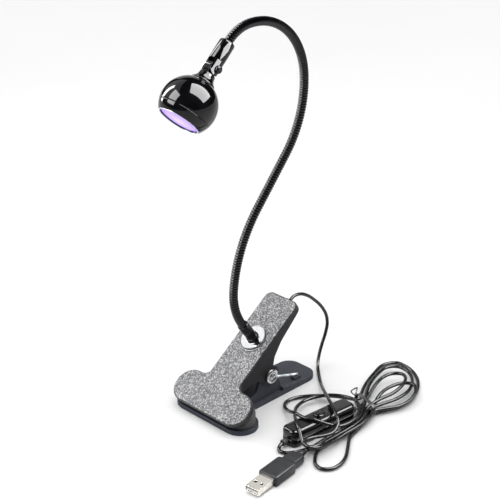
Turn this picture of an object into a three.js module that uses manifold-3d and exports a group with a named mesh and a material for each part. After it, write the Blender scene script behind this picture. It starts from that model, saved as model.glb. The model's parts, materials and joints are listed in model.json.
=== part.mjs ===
// A clip-on ultraviolet curing lamp: a spring clamp with a gooseneck, a ball-shaped head that tilts,
// and a thin lead with an in-line push switch and a USB-A plug.
// Millimetres, +Z up. The lower lever lies flat on z = 0 with its middle at the origin,
// the jaws point to -Y, the handle ends to +Y, and the clamp's width runs along X.
import * as THREE from "three";
import { mergeVertices } from "three/addons/utils/BufferGeometryUtils.js";
import Module from "manifold-3d";

const wasm = await Module();
wasm.setup();

// ---------- driving dimensions ----------
const GAP = 0.3; // clearance between pieces that touch
const CLAMP_ANGLE = 36.2; // degrees between the two levers with the jaws shut
const PIVOT_HEIGHT = 24; // from a lever's outer face to the pivot axis
const JAW_WIDTH = 80;
const JAW_DEPTH = 28.4;
const JAW_REACH = 57; // pivot to the front edge of the jaw, along the lever
const HANDLE_WIDTH = 34;
const HANDLE_REACH = 57; // pivot to the handle's end
const UPPER_CORNER = 6; // rounding of the upper handle's end
const LOWER_CORNER = 11; // the lower handle ends in a fuller round
const PLATE = 3; // thickness of a lever's plate
const WALL = 2.4; // thickness of a lever's side walls
const EAR_RADIUS = 8.8;
const EAR_INSET = 3; // the lower lever's ears stand this far inside the upper lever's
const PIN_RADIUS = 2.2;
const PANEL = 0.6; // the glitter sheet
const NECK_SEAT = 14.8; // pivot to the neck's foot, along the upper lever
const NECK_RADIUS = 3.4;
const NECK_FOOT = 36.5; // pivot axis to the neck's lower end, square to the lever
const FERRULE_TOP = 45;
const STUD_RADIUS = 3.4;
const SPRING_RADIUS = 5.5;
const WIRE_RADIUS = 1.1;
const SPRING_REACH = 37; // where a spring leg presses on its lever
const SPRING_DROP = 16.4; // pivot axis to that point, square to the lever
const SPRING_SIDE = 10; // the legs' distance to each side of the middle
const SPRING_TURNS = 8;
const BALL_RADIUS = 21.2;
const BALL_DROP = 54; // neck tip to the ball's centre
const OPENING_HEIGHT = -13.3; // the ball is cut off here, below its centre
const SEAM_HEIGHT = -7; // front ring to rear shell
const TILT_HEIGHT = 32; // tilt screw above the ball's centre
const TIP_RADIUS = 6; // tip ferrule
const CORD_RADIUS = 1.4;
const LEAD_X = 2; // where the lead leaves the upper lever's end
const LEAD_DROP = 17.2;
const GROMMET_RADIUS = 2.4;

// The neck's centreline at rest, from its foot: arcs in the YZ plane, [length, turn in degrees].
const NECK_ARCS = [
  [9, 0],
  [35.4, 42.1],
  [66.5, 34.5],
  [46.8, 0],
  [65.4, -45.6],
  [85.7, -88.9],
  [23.1, -39.7],
];
const NECK_CUTS = [0, 52, 100, 148, 196, 244, 290, 338]; // where one neck segment ends and the next starts
const NECK_STEP = 7;
const NECK_SIDES = 10;
const CONE = 0.85; // how far a segment's rim stands back from its tip, so that it can bend

const radians = THREE.MathUtils.degToRad;
const TILT = radians(CLAMP_ANGLE);

// ---------- finishes ----------
const finish = (color, roughness, metalness = 0) =>
  new THREE.MeshStandardMaterial({ color, roughness, metalness });
const clampPlastic = finish(0x2c2c30, 0.55);
const leverPlastic = finish(0x3a3f4c, 0.6);
const glitter = finish(0x9a9a9e, 0.45, 0.5);
const rubber = finish(0x1c1c1e, 0.9);
const chrome = finish(0xe8e8ea, 0.1, 1);
const steel = finish(0xaab4bc, 0.3, 1);
const zinc = finish(0x7c7f84, 0.4, 1);
const blackGloss = finish(0x08080a, 0.08);
const neckBlack = finish(0x101012, 0.35, 0.4);
const cordBlack = finish(0x0c0c0e, 0.3);
const lensViolet = finish(0xb99cff, 0.15);
const mirror = finish(0xdcdce2, 0.08, 1);
const aluminium = finish(0xb8babd, 0.35, 1);
const boardWhite = finish(0xe6e6e0, 0.6);
const ledYellow = finish(0xe8d24a, 0.4);
const plugGrey = finish(0x44464c, 0.5);
const gold = finish(0xd9b45a, 0.25, 1);
const white = finish(0xe4e4e2, 0.6);

// ---------- solids ----------
// A closed geometry as a manifold-3d solid.
function solid(geometry) {
  const loose = geometry.index ? geometry.toNonIndexed() : geometry;
  const bare = new THREE.BufferGeometry();
  bare.setAttribute("position", loose.getAttribute("position").clone());
  const merged = mergeVertices(bare, 1e-4);
  const triVerts = new Uint32Array(merged.index.array);
  const vertProperties = merged.getAttribute("position").array;
  return new wasm.Manifold(new wasm.Mesh({ numProp: 3, vertProperties, triVerts }));
}

function geometryOf(body) {
  const mesh = body.getMesh();
  const geometry = new THREE.BufferGeometry();
  geometry.setAttribute("position", new THREE.BufferAttribute(mesh.vertProperties, 3));
  geometry.setIndex(new THREE.BufferAttribute(mesh.triVerts, 1));
  return geometry;
}

function box(lowX, highX, lowY, highY, lowZ, highZ) {
  const geometry = new THREE.BoxGeometry(highX - lowX, highY - lowY, highZ - lowZ);
  geometry.translate((lowX + highX) / 2, (lowY + highY) / 2, (lowZ + highZ) / 2);
  return solid(geometry);
}

function extrude(shape, lowZ, highZ, curveSegments = 10) {
  const geometry = new THREE.ExtrudeGeometry(shape, {
    depth: highZ - lowZ,
    bevelEnabled: false,
    curveSegments,
  });
  geometry.translate(0, 0, lowZ);
  return solid(geometry);
}

// A profile of [radius, height] points turned about the Z axis; it closes on itself or on the axis.
function turned(profile, segments = 24) {
  let area = 0;
  profile.forEach(([r, z], i) => {
    const [nextR, nextZ] = profile[(i + 1) % profile.length];
    area += r * nextZ - nextR * z;
  });
  const ordered = area > 0 ? profile : [...profile].reverse();
  const onAxis = ordered.filter(([r]) => r === 0).length === 2;
  while (onAxis && !(ordered[0][0] === 0 && ordered.at(-1)[0] === 0)) {
    ordered.push(ordered.shift());
  }
  const points = ordered.map(([r, z]) => new THREE.Vector2(r, z));
  if (!onAxis) points.push(points[0].clone());
  const geometry = new THREE.LatheGeometry(points, segments);
  geometry.rotateX(Math.PI / 2);
  return solid(geometry);
}

const ring = (inner, outer, low, high, segments = 24) =>
  turned([[inner, low], [outer, low], [outer, high], [inner, high]], segments);
const rod = (radius, low, high, segments = 16) =>
  turned([[0, low], [radius, low], [radius, high], [0, high]], segments);

// A solid turned so that its own Z axis lies along X, or along Y.
const alongX = (body) => body.rotate([0, 90, 0]);
const alongY = (body) => body.rotate([-90, 0, 0]);

// A round tube through a list of points, closed at both ends, or a closed loop.
function tube(points, radius, sides, steps, closed = false) {
  const curve = new THREE.CatmullRomCurve3(points, closed);
  const section = new THREE.Shape();
  for (let i = 0; i < sides; i++) {
    const angle = (2 * Math.PI * i) / sides;
    const place = i === 0 ? "moveTo" : "lineTo";
    section[place](radius * Math.cos(angle), radius * Math.sin(angle));
  }
  return new THREE.ExtrudeGeometry(section, { steps, extrudePath: curve, bevelEnabled: false });
}

const vectors = (rows) => rows.map(([x, y, z]) => new THREE.Vector3(x, y, z));

function roundedRectangle(width, length, radius) {
  const x = width / 2 - radius;
  const y = length / 2 - radius;
  const shape = new THREE.Shape();
  shape.absarc(x, -y, radius, -Math.PI / 2, 0);
  shape.absarc(x, y, radius, 0, Math.PI / 2);
  shape.absarc(-x, y, radius, Math.PI / 2, Math.PI);
  shape.absarc(-x, -y, radius, Math.PI, 1.5 * Math.PI);
  return shape;
}

function hexagon(acrossFlats) {
  const shape = new THREE.Shape();
  for (let i = 0; i < 6; i++) {
    const angle = radians(60 * i + 30);
    const corner = acrossFlats / 2 / Math.cos(radians(30));
    const place = i === 0 ? "moveTo" : "lineTo";
    shape[place](corner * Math.cos(angle), corner * Math.sin(angle));
  }
  return shape;
}

function hexNut(acrossFlats, bore, low, high) {
  return extrude(hexagon(acrossFlats), low, high).subtract(rod(bore, low - 1, high + 1));
}

function add(group, name, shape, material) {
  const geometry = shape.isBufferGeometry ? shape : geometryOf(shape);
  const mesh = new THREE.Mesh(geometry, material);
  mesh.name = name;
  group.add(mesh);
  return mesh;
}

// ---------- the frame of each sub-assembly ----------
const lamp = new THREE.Group();
// A lever's own frame: X across, Y along it to the handle's end, Z out of its outer face, origin on the pivot.
const upperFrame = new THREE.Group();
upperFrame.position.z = PIVOT_HEIGHT;
upperFrame.rotation.x = TILT;
const lowerFrame = new THREE.Group();
lowerFrame.position.z = PIVOT_HEIGHT;
lowerFrame.rotation.y = Math.PI;
const pivotFrame = new THREE.Group();
pivotFrame.position.z = PIVOT_HEIGHT;
lamp.add(upperFrame, lowerFrame, pivotFrame);

// ---------- clamp ----------
// The lever's T-shaped outline: a pill-shaped jaw joined to a straight handle.
function leverOutline(inset, handleCorner = UPPER_CORNER) {
  const end = JAW_DEPTH / 2 - inset;
  const jawX = JAW_WIDTH / 2 - JAW_DEPTH / 2;
  const jawY = -JAW_REACH + JAW_DEPTH / 2;
  const side = HANDLE_WIDTH / 2 - inset;
  const top = HANDLE_REACH - inset;
  const fillet = 6 + inset;
  const corner = handleCorner - inset;
  const shape = new THREE.Shape();
  shape.absarc(jawX, jawY, end, -Math.PI / 2, Math.PI / 2);
  shape.absarc(side + fillet, jawY + end + fillet, fillet, 1.5 * Math.PI, Math.PI, true);
  shape.absarc(side - corner, top - corner, corner, 0, Math.PI / 2);
  shape.absarc(corner - side, top - corner, corner, Math.PI / 2, Math.PI);
  shape.absarc(-side - fillet, jawY + end + fillet, fillet, 0, -Math.PI / 2, true);
  shape.absarc(-jawX, jawY, end, Math.PI / 2, 1.5 * Math.PI);
  return shape;
}

// A wall or ear drawn from the side, [along the lever, out from the pivot], and given a thickness across.
function sideWall(profile, lowX, highX) {
  const shape = new THREE.Shape(profile.map(([y, z]) => new THREE.Vector2(y, z)));
  return extrude(shape, lowX, highX).rotate([90, 0, 90]);
}

// A wall on each side of the lever, its ends rounded to the lever's outline.
function bothSides(wall) {
  const outline = extrude(leverOutline(0), -EAR_RADIUS - 1, PIVOT_HEIGHT, 8);
  return wall.add(wall.mirror([1, 0, 0])).intersect(outline);
}

// The wall's inner edge deepens from the handle's end towards the ear.
const OUTER = PIVOT_HEIGHT - 1; // where walls run into the plate
const HANDLE_WALL = [[56.2, OUTER], [56.2, 19], [25, 14.5], [13, 10]];
const JAW_WALL = [[-13, 11.5], [-26, 16.5], [-26, OUTER]];

function earArc(from, to) {
  const points = [];
  for (let i = 0; i <= 12; i++) {
    const angle = radians(from + ((to - from) * i) / 12);
    points.push([EAR_RADIUS * Math.cos(angle), EAR_RADIUS * Math.sin(angle)]);
  }
  return points;
}

const SEAT_FACE = SPRING_DROP + WIRE_RADIUS + 1.5 * GAP;
const SEAT_HALF_WIDTH = 2.5;
const springSeat = () =>
  box(
    -SPRING_SIDE - SEAT_HALF_WIDTH,
    -SPRING_SIDE + SEAT_HALF_WIDTH,
    SPRING_REACH - 4,
    SPRING_REACH + 3,
    SEAT_FACE,
    OUTER,
  );

function leverPlate() {
  const top = PIVOT_HEIGHT - PANEL - GAP;
  return extrude(leverOutline(0), top - PLATE, top, 12);
}

function upperLever() {
  const outside = HANDLE_WIDTH / 2;
  const wall = sideWall([...HANDLE_WALL, ...earArc(35, -190), ...JAW_WALL], outside - WALL, outside);
  const pinHole = alongX(rod(PIN_RADIUS + GAP, -30, 30));
  const endWall = box(-12, 12, 54, 56.4, 19, OUTER);
  const cordBoss = box(LEAD_X - 4.4, LEAD_X + 4.4, 54, 56.4, LEAD_DROP - 4.2, OUTER);
  const cordHole = alongY(rod(GROMMET_RADIUS + GAP, 50, 60)).translate([LEAD_X, 0, LEAD_DROP]);
  const studHole = rod(STUD_RADIUS + GAP, 10, 30).translate([0, NECK_SEAT, 0]);
  return leverPlate()
    .add(bothSides(wall))
    .add(endWall)
    .add(cordBoss)
    .add(springSeat())
    .subtract(pinHole)
    .subtract(cordHole)
    .subtract(studHole);
}

// The lower lever's outer face is the flat that the lamp stands on, so its plate fills the panel's depth too.
function lowerLever() {
  const outside = HANDLE_WIDTH / 2;
  const earOutside = outside - EAR_INSET;
  const rail = [[42, OUTER], [42, 20], [15, 17.4], [15, OUTER]];
  const ear = [[17, OUTER], [13, 10], ...earArc(35, -190), ...JAW_WALL];
  const plate = extrude(leverOutline(0, LOWER_CORNER), PIVOT_HEIGHT - PLATE - PANEL - GAP, PIVOT_HEIGHT, 12);
  return plate
    .add(bothSides(sideWall(rail, outside - WALL - 0.8, outside)))
    .add(bothSides(sideWall(ear, earOutside - WALL, earOutside)))
    .add(springSeat())
    .subtract(alongX(rod(PIN_RADIUS + GAP, -30, 30)));
}

// A jaw pad: the jaw's outline set in, from the plate down to the plane halfway between the levers.
function jawPad(plateInside) {
  const pill = extrude(leverOutline(2.2), -5, plateInside - GAP, 12);
  const jawOnly = box(-60, 60, -80, -JAW_REACH + JAW_DEPTH - 2.2, -10, 40);
  const halfway = box(-60, 60, -90, 20, -30, GAP / 2 + 0.1).rotate([-CLAMP_ANGLE / 2, 0, 0]);
  return pill.intersect(jawOnly).subtract(halfway);
}

function glitterPanel() {
  const top = PIVOT_HEIGHT;
  const sheet = extrude(leverOutline(0.9), top - PANEL, top, 12);
  return sheet.subtract(rod(STUD_RADIUS + GAP, 10, 30).translate([0, NECK_SEAT, 0]));
}

function pivotScrew() {
  const head = turned([[0, 17.3], [6, 17.3], [6, 18.6], [5, 20], [0, 20]]);
  const slot = box(-0.6, 0.6, -3, 3, 19, 21).add(box(-3, 3, -0.6, 0.6, 19, 21));
  return alongX(rod(PIN_RADIUS, -21.2, 17.5).add(head).subtract(slot));
}

// A torsion spring on the pin: one leg on the lower lever, the coil, one leg on the upper lever.
function torsionSpring() {
  const reach = Math.hypot(SPRING_REACH, SPRING_DROP);
  const aim = Math.atan2(SPRING_DROP, SPRING_REACH);
  const touch = Math.acos(SPRING_RADIUS / reach);
  const first = -aim - touch;
  const last = TILT + aim + touch - 2 * Math.PI * SPRING_TURNS;
  const points = [];
  const place = (x, distance, angle) =>
    points.push(new THREE.Vector3(x, distance * Math.cos(angle), distance * Math.sin(angle)));
  place(SPRING_SIDE, reach + 1.5, -aim);
  place(SPRING_SIDE, reach * 0.5, -aim - 0.115);
  const places = 10 * SPRING_TURNS;
  for (let i = 0; i <= places; i++) {
    const x = SPRING_SIDE * (1 - (2 * i) / places);
    place(x, SPRING_RADIUS, first + ((last - first) * i) / places);
  }
  place(-SPRING_SIDE, reach * 0.5, TILT + aim + 0.115);
  place(-SPRING_SIDE, reach + 1.5, TILT + aim);
  return tube(points, WIRE_RADIUS, 6, 130);
}

add(lowerFrame, "lower_lever", lowerLever(), leverPlastic);
add(upperFrame, "upper_lever", upperLever(), clampPlastic);
add(upperFrame, "glitter_panel", glitterPanel(), glitter);
add(upperFrame, "upper_jaw_pad", jawPad(PIVOT_HEIGHT - PANEL - GAP - PLATE), rubber);
const lowerPad = jawPad(PIVOT_HEIGHT - PANEL - GAP - PLATE);
add(lowerFrame, "lower_jaw_pad", lowerPad, rubber);
add(pivotFrame, "pivot_screw", pivotScrew(), chrome);
add(pivotFrame, "pivot_nut", alongX(hexNut(8, PIN_RADIUS + GAP, -20.8, -17.3)), steel);
add(pivotFrame, "torsion_spring", torsionSpring(), steel);

// ---------- the neck's foot ----------
const footFrame = new THREE.Group();
footFrame.position.y = NECK_SEAT;
upperFrame.add(footFrame);
const PLATE_INSIDE = PIVOT_HEIGHT - PANEL - GAP - PLATE;
const washerProfile = [[3.8, 24.3], [11.9, 24.3], [11.9, 24.9], [10.9, 25.6], [3.8, 25.9]];
const ferruleProfile = [[3.8, 28.9], [4.5, 28.9], [4.5, 44.4], [4.2, FERRULE_TOP], [3.8, FERRULE_TOP]];
add(footFrame, "neck_washer", turned(washerProfile, 32), chrome);
add(footFrame, "foot_nut", ring(3.8, 4.7, 26.2, 28.6, 32), blackGloss);
add(footFrame, "neck_stud", ring(2, STUD_RADIUS, 13, 36.2), zinc);
add(footFrame, "lock_washer", ring(3.8, 6.4, PLATE_INSIDE - 1.3, PLATE_INSIDE - GAP), zinc);
add(footFrame, "stud_nut", hexNut(11, 3.8, PLATE_INSIDE - 5.2, PLATE_INSIDE - 1.6), zinc);
add(footFrame, "base_ferrule", turned(ferruleProfile, 32), blackGloss);

// ---------- gooseneck ----------
// The point of the neck's centreline at a distance along it, and the direction there.
function neckAt(distance) {
  let angle = -TILT;
  let y = NECK_SEAT * Math.cos(TILT) - NECK_FOOT * Math.sin(TILT);
  let z = PIVOT_HEIGHT + NECK_SEAT * Math.sin(TILT) + NECK_FOOT * Math.cos(TILT);
  let left = distance;
  NECK_ARCS.forEach(([length, turn], i) => {
    const last = i === NECK_ARCS.length - 1;
    const part = Math.min(left, length);
    const bend = (radians(turn) * part) / length;
    const chord = Math.abs(bend) < 1e-9 ? part : (2 * part * Math.sin(bend / 2)) / bend;
    y += chord * Math.sin(angle + bend / 2);
    z += chord * Math.cos(angle + bend / 2);
    angle += bend;
    left -= part;
    if (last && left > 0) {
      y += left * Math.sin(angle);
      z += left * Math.cos(angle);
    }
  });
  return { y, z, angle };
}

// One stretch of the neck: rings of vertices round the centreline, with a shallow cone at each end.
function neckSegment(from, to) {
  const start = from + GAP / 2;
  const end = to - GAP / 2;
  const steps = Math.round((end - start) / NECK_STEP);
  const positions = [];
  const centre = (distance) => {
    const { y, z } = neckAt(distance);
    return positions.push(0, y, z) / 3 - 1;
  };
  const ringAt = (distance) => {
    const { y, z, angle } = neckAt(distance);
    const first = positions.length / 3;
    for (let k = 0; k < NECK_SIDES; k++) {
      const around = (2 * Math.PI * k) / NECK_SIDES;
      const across = NECK_RADIUS * Math.sin(around);
      positions.push(NECK_RADIUS * Math.cos(around), y + across * Math.cos(angle), z - across * Math.sin(angle));
    }
    return first;
  };
  const startTip = centre(start);
  const rings = [];
  for (let i = 0; i <= steps; i++) {
    rings.push(ringAt(start + CONE + ((end - start - 2 * CONE) * i) / steps));
  }
  const endTip = centre(end);
  const faces = [];
  for (let k = 0; k < NECK_SIDES; k++) {
    const next = (k + 1) % NECK_SIDES;
    faces.push(startTip, rings[0] + next, rings[0] + k);
    for (let i = 0; i < steps; i++) {
      const [a, b] = [rings[i], rings[i + 1]];
      faces.push(a + k, b + next, b + k, a + k, a + next, b + next);
    }
    faces.push(endTip, rings[steps] + k, rings[steps] + next);
  }
  const geometry = new THREE.BufferGeometry();
  geometry.setAttribute("position", new THREE.Float32BufferAttribute(positions, 3));
  geometry.setIndex(faces);
  return geometry;
}

NECK_CUTS.slice(1).forEach((to, i) => {
  add(lamp, `neck_segment_${i + 1}`, neckSegment(NECK_CUTS[i], to), neckBlack);
});

// ---------- head ----------
// The head's frame: origin at the ball's centre, Z along the stem towards the neck.
const neckLength = NECK_ARCS.reduce((sum, [length]) => sum + length, 0);
const tip = neckAt(neckLength);
const headFrame = new THREE.Group();
headFrame.position.set(0, tip.y + BALL_DROP * Math.sin(tip.angle), tip.z + BALL_DROP * Math.cos(tip.angle));
headFrame.rotation.x = Math.PI - tip.angle;
lamp.add(headFrame);

// The ferrule on the neck's tip, with a fork that holds the stem's tongue.
function tipFerrule() {
  const boreFloor = BALL_DROP - 6.4;
  const body = turned([
    [0, TILT_HEIGHT],
    [TIP_RADIUS, TILT_HEIGHT],
    [TIP_RADIUS, BALL_DROP - 1.4],
    [TIP_RADIUS - 1.4, BALL_DROP],
    [NECK_RADIUS + 0.5, BALL_DROP],
    [NECK_RADIUS + 0.5, boreFloor],
    [0, boreFloor],
  ]);
  const knuckle = alongX(rod(5.8, -TIP_RADIUS, TIP_RADIUS)).translate([0, 0, TILT_HEIGHT]);
  const barrel = rod(TIP_RADIUS, TILT_HEIGHT - 6, TILT_HEIGHT + 1);
  const slot = box(-3.1, 3.1, -8, 8, TILT_HEIGHT - 8, TILT_HEIGHT + 6);
  const screwHole = alongX(rod(1.8, -9, 9)).translate([0, 0, TILT_HEIGHT]);
  return body.add(knuckle.intersect(barrel)).subtract(slot).subtract(screwHole);
}

function headStem() {
  const flare = turned([
    [0, 19.9],
    [8.7, 19.9],
    [7.1, 21.6],
    [6.3, 23.6],
    [TIP_RADIUS, 25.6],
    [0, 25.6],
  ]);
  const tongue = alongX(rod(5.4, -2.8, 2.8)).translate([0, 0, TILT_HEIGHT]);
  const web = box(-2.8, 2.8, -5, 5, 25, TILT_HEIGHT);
  const screwHole = alongX(rod(1.8, -9, 9)).translate([0, 0, TILT_HEIGHT]);
  const wireway = rod(1.2, 15, TILT_HEIGHT + 8);
  return flare.add(tongue).add(web).subtract(screwHole).subtract(wireway);
}

function tiltScrew() {
  const head = turned([[0, -8.6], [2, -8.6], [2.9, -7.8], [2.9, -6.3], [0, -6.3]], 20);
  return alongX(rod(1.5, -6.5, 8.2, 16).add(head)).translate([0, 0, TILT_HEIGHT]);
}

const onBall = (radius, height) => [Math.sqrt(radius ** 2 - height ** 2), height];

// Points of a sphere's profile from one height to another.
function ballArc(radius, fromHeight, toHeight, steps) {
  const from = Math.acos(fromHeight / radius);
  const to = Math.acos(toHeight / radius);
  const points = [];
  for (let i = 0; i <= steps; i++) {
    const angle = from + ((to - from) * i) / steps;
    points.push([radius * Math.sin(angle), radius * Math.cos(angle)]);
  }
  return points;
}

const SHELL = 1.8; // wall of the head's shells
function rearShell() {
  const inner = BALL_RADIUS - SHELL;
  const low = SEAM_HEIGHT + GAP / 2;
  const outside = ballArc(BALL_RADIUS, low, 19.2, 9);
  const inside = ballArc(inner, 17.4, low, 6);
  return turned([...outside, [2.6, 19.2], [2.6, 17.4], ...inside], 32);
}

function frontRing() {
  const high = SEAM_HEIGHT - GAP / 2;
  const inner = BALL_RADIUS - SHELL;
  const outside = ballArc(BALL_RADIUS, OPENING_HEIGHT, high, 4);
  const lip = [[15.2, -10.6], [15.2, OPENING_HEIGHT]];
  return turned([...outside, onBall(inner, high), onBall(inner, -10.6), ...lip], 32);
}

function heatSink() {
  const base = rod(11, 2.5, 4.9, 28);
  const fins = [-7.5, -2.5, 2.5, 7.5].map((x) => box(x - 0.8, x + 0.8, -7, 7, 4.7, 9.7));
  return fins.reduce((sum, fin) => sum.add(fin), base);
}

add(headFrame, "tip_ferrule", tipFerrule(), blackGloss);
add(headFrame, "head_stem", headStem(), blackGloss);
add(headFrame, "tilt_screw", tiltScrew(), chrome);
const tiltNut = alongX(hexNut(5.6, 1.8, 6.3, 8.1)).translate([0, 0, TILT_HEIGHT]);
add(headFrame, "tilt_nut", tiltNut, blackGloss);
add(headFrame, "stem_collar", ring(1.6, 8.4, 19.3, 19.6), steel);
add(headFrame, "rear_shell", rearShell(), blackGloss);
add(headFrame, "front_ring", frontRing(), blackGloss);
const lensProfile = [[0, -11.4], [14.9, -11.4], [14.9, -12.4], [8, -12.9], [0, -13.1]];
add(headFrame, "lens", turned(lensProfile, 32), lensViolet);
const reflectorProfile = [[3.6, 0.4], [4.6, 0.4], [14.9, -10.3], [14.9, -11.1], [13.9, -11.1]];
add(headFrame, "reflector", turned(reflectorProfile, 32), mirror);
add(headFrame, "led_board", rod(10, 0.7, 2.2, 28), boardWhite);
add(headFrame, "led_emitter", rod(2.6, -1.2, 0.4, 20), ledYellow);
add(headFrame, "heat_sink", heatSink(), aluminium);
add(headFrame, "head_lead", rod(1, 10, 24, 10), cordBlack);

// ---------- lead inside the upper lever ----------
const INNER_ROUTE = [
  [0, NECK_SEAT, 12.4],
  [0, 18, 10.6],
  [0.6, 26, 11.6],
  [1.4, 38, 14.8],
  [LEAD_X, 47, LEAD_DROP - 0.2],
  [LEAD_X, 51.6, LEAD_DROP],
];
add(upperFrame, "lever_lead", tube(vectors(INNER_ROUTE), CORD_RADIUS, 8, 12), cordBlack);
const barrel = ring(1.7, GROMMET_RADIUS, 52, 58.2, 16);
const flange = ring(1.7, GROMMET_RADIUS + 1, 57.3, 58.2, 16);
const grommet = alongY(barrel.add(flange)).translate([LEAD_X, 0, LEAD_DROP]);
add(upperFrame, "cord_grommet", grommet, rubber);

// ---------- free lead ----------
// From the lever's end it arches down to the standing surface and runs to the coil beside the clamp.
const LEAD_ROUTE = [
  [LEAD_X, 37.2, 72.5],
  [2, 42.6, 74.6],
  [2, 49.6, 73.6],
  [2, 58, 69.2],
  [2.2, 67, 61.6],
  [2.4, 75, 53],
  [2.6, 80.6, 43.6],
  [2.8, 82.2, 35],
  [3, 80, 26.5],
  [3.6, 75.4, 18.4],
  [5, 70.6, 10.8],
  [8, 65.6, 4.6],
  [13.5, 60.4, 1.9],
  [21, 54, 1.7],
];
add(lamp, "lamp_cord", tube(vectors(LEAD_ROUTE), CORD_RADIUS, 8, 30), cordBlack);

// The loose turns that lie partly on the floor and partly on the switch: one closed ring.
const LOOSE_STRAND = 3;
const LOOSE_ROUTE = [
  [76, 40.5, 14],
  [64, 39, 12.6],
  [50, 31.5, 5.5],
  [36, 23, 3.4],
  [29.5, 13.5, 3.3],
  [31, 4, 3.5],
  [41, -5, 6],
  [52, -13, 11.6],
  [62, -18.5, 17.6],
  [72, -20, 18],
  [81, -16, 18],
  [88.5, -7, 16.5],
  [92, 5, 14],
  [90.5, 19, 13.6],
  [85, 32, 14],
];
const looseLoop = () => tube(vectors(LOOSE_ROUTE), LOOSE_STRAND, 8, 30, true);
add(lamp, "loose_loop", looseLoop(), cordBlack);

// The tied hank beside the switch, its plan drawn as a smooth closed outline.
const HANK_PLAN = [
  [90, -36.4],
  [95.4, -32],
  [96.6, -12],
  [96, 10],
  [95.6, 34],
  [98.6, 56],
  [97.6, 78],
  [91, 97],
  [79, 111],
  [64, 119],
  [50, 119.4],
  [43.6, 108],
  [48, 87],
  [57, 65],
  [65, 47],
  [70, 39],
  [81, 36.4],
  [85.8, 24],
  [85.4, 0],
  [85.2, -24],
  [85.8, -33],
];
const HANK_LOW = 1.2;
const HANK_HIGH = 9.6;
function hankPlan(grow) {
  const curve = new THREE.CatmullRomCurve3(vectors(HANK_PLAN.map(([x, y]) => [x, y, 0])), true);
  const points = curve.getPoints(44).slice(0, -1);
  const moved = points.map((point, i) => {
    const ahead = curve.getTangent(i / points.length);
    return new THREE.Vector2(point.x + ahead.y * grow, point.y - ahead.x * grow);
  });
  return new THREE.Shape(moved);
}
const hank = extrude(hankPlan(0), HANK_LOW, HANK_HIGH);
add(lamp, "cord_hank", hank, cordBlack);

// The wire tie round the hank.
function hankTie() {
  const band = box(-30, 30, -2.2, 2.2, -5, 30).rotate([0, 0, -14]).translate([81, 44, 0]);
  const outside = extrude(hankPlan(1), HANK_LOW - 0.9, HANK_HIGH + 0.9);
  const inside = extrude(hankPlan(GAP), HANK_LOW - GAP, HANK_HIGH + GAP);
  return outside.subtract(inside).intersect(band);
}
add(lamp, "hank_tie", hankTie(), cordBlack);

// The strand that droops out of the hank and comes back to its near end.
const DROOP_ROUTE = [
  [98.3, 4],
  [102, -2],
  [108, -10],
  [114, -19],
  [117.6, -29],
  [117, -38],
  [111.5, -43.4],
  [104.5, -42],
  [98.6, -36],
];
const droop = DROOP_ROUTE.map(([x, y]) => [x, y, 1.7]);
add(lamp, "droop_loop", tube(vectors(droop), CORD_RADIUS, 8, 16), cordBlack);

// ---------- in-line switch ----------
const SWITCH = { x: 73, y: -4, turn: -4.9, width: 15.5, length: 66, top: 14.2, split: 6.4, wall: 1.5 };
const switchFrame = new THREE.Group();
switchFrame.position.set(SWITCH.x, SWITCH.y, 0);
switchFrame.rotation.z = radians(SWITCH.turn);
lamp.add(switchFrame);

function switchHalf(low, high, cavityLow, cavityHigh) {
  const outer = roundedRectangle(SWITCH.width, SWITCH.length, 5);
  const inner = roundedRectangle(SWITCH.width - 2 * SWITCH.wall, SWITCH.length - 2 * SWITCH.wall, 3.5);
  const ends = alongY(rod(1.9, -40, 40)).translate([0, 0, 4]);
  return extrude(outer, low, high, 6).subtract(extrude(inner, cavityLow, cavityHigh, 6)).subtract(ends);
}

const switchBase = switchHalf(0, SWITCH.split, SWITCH.wall, SWITCH.split + 1);
const coverLow = SWITCH.split + GAP;
const switchCover = switchHalf(coverLow, SWITCH.top, coverLow - 1, SWITCH.top - SWITCH.wall).subtract(
  rod(4.7, 5, 20),
);
add(switchFrame, "switch_base", switchBase, blackGloss);
add(switchFrame, "switch_cover", switchCover, blackGloss);
const buttonProfile = [[0, 9.2], [5.8, 9.2], [5.8, 10.2], [4.3, 10.2], [4.3, 15.4], [3.6, 16], [0, 16]];
add(switchFrame, "switch_button", turned(buttonProfile, 28), blackGloss);
add(switchFrame, "switch_contacts", box(-5.5, 5.5, -10, 10, SWITCH.wall + GAP, 6.6), plugGrey);
for (const [name, side] of [["switch_bush_near", -1], ["switch_bush_far", 1]]) {
  const bush = ring(0.9, 2.6, 33.3, 37.5, 16).add(ring(0.9, 1.6, 30, 33.5, 16));
  const turnedBush = side < 0 ? alongY(bush).rotate([0, 0, 180]) : alongY(bush);
  add(switchFrame, name, turnedBush.translate([0, 0, 4]), rubber);
}

// From the switch's near end the lead turns back into the hank.
const NEAR_ROUTE = [
  [69.8, -42, 3.8],
  [70.4, -45.4, 2.8],
  [73.2, -48.2, 2],
  [77.4, -47.4, 1.7],
  [81.4, -43.2, 1.7],
  [84.2, -37.4, 1.9],
];
add(lamp, "switch_cord", tube(vectors(NEAR_ROUTE), CORD_RADIUS, 8, 10), cordBlack);

// ---------- USB-A plug ----------
// The plug's frame: Y points from its tip to its cord, origin under the front of the moulded grip.
const PLUG = { x: 95.4, y: -83.6, turn: 7, middle: 4.3 };
const plugFrame = new THREE.Group();
plugFrame.position.set(PLUG.x, PLUG.y, 0);
plugFrame.rotation.z = radians(PLUG.turn);
lamp.add(plugFrame);

function plugGrip() {
  const wide = extrude(roundedRectangle(16, 24.4, 2.4), 0.2, 8.4, 4).translate([0, 12.2, 0]);
  const narrow = extrude(roundedRectangle(12.4, 16, 2), 0.7, 7.9, 4).translate([0, 29.5, 0]);
  const socket = box(-6.3, 6.3, -1, 6, 1.7, 6.9);
  return wide.add(narrow).subtract(socket);
}

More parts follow.
